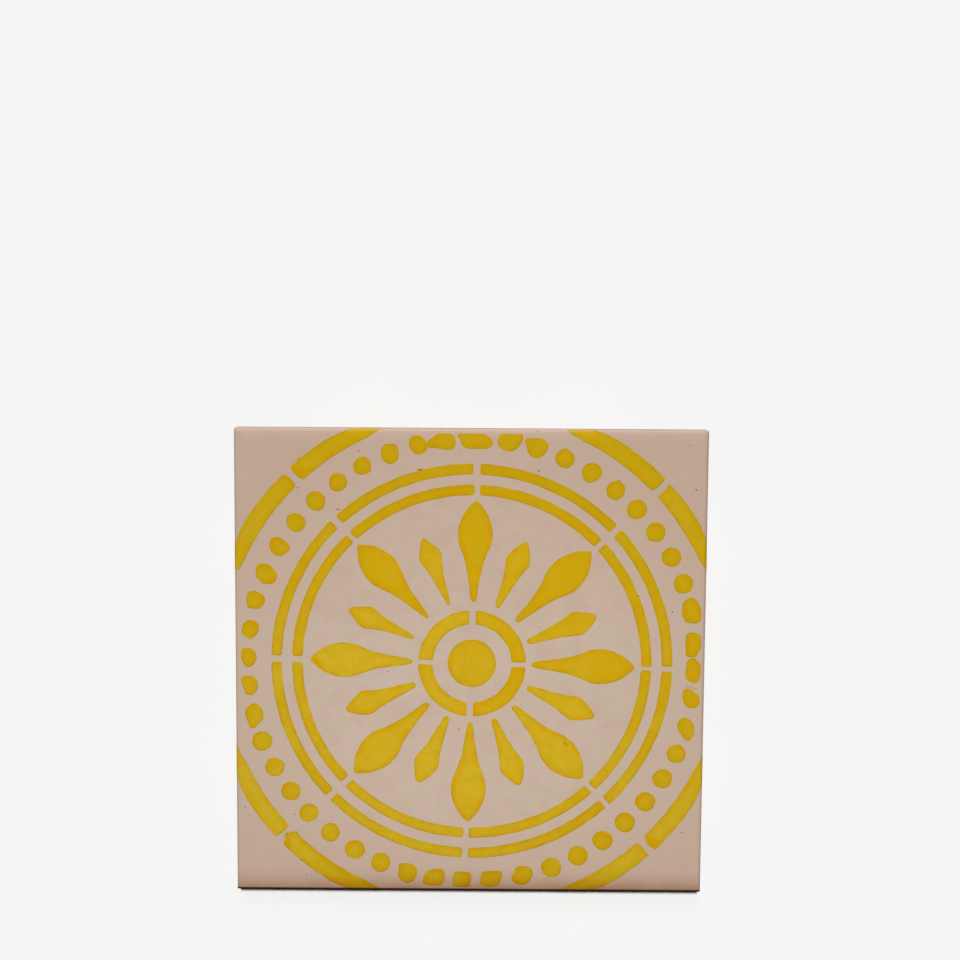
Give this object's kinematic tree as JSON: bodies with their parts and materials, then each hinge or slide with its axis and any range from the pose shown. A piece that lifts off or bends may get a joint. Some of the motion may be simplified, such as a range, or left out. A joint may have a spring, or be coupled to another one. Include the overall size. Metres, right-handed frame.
{
  "type": "ceramic tile",
  "caption": "Square glazed ceramic wall tile with softly rolled edges, a stencilled rosette on the face and keying grooves across the back.",
  "frame": {"origin": "middle of the tile's back, on its lands", "axes": "+Z out of the glazed face, +Y to the top edge of the face in the picture, +X to its right edge"},
  "size_m": [0.15, 0.15, 0.008],
  "materials": {
    "glaze": "satin pinkish beige glaze",
    "stencil_glaze": "satin yellow glaze",
    "biscuit": "matt unglazed fired clay"
  },
  "bodies": {
    "root": {"tile": "glaze"}
  },
  "joints": []
}
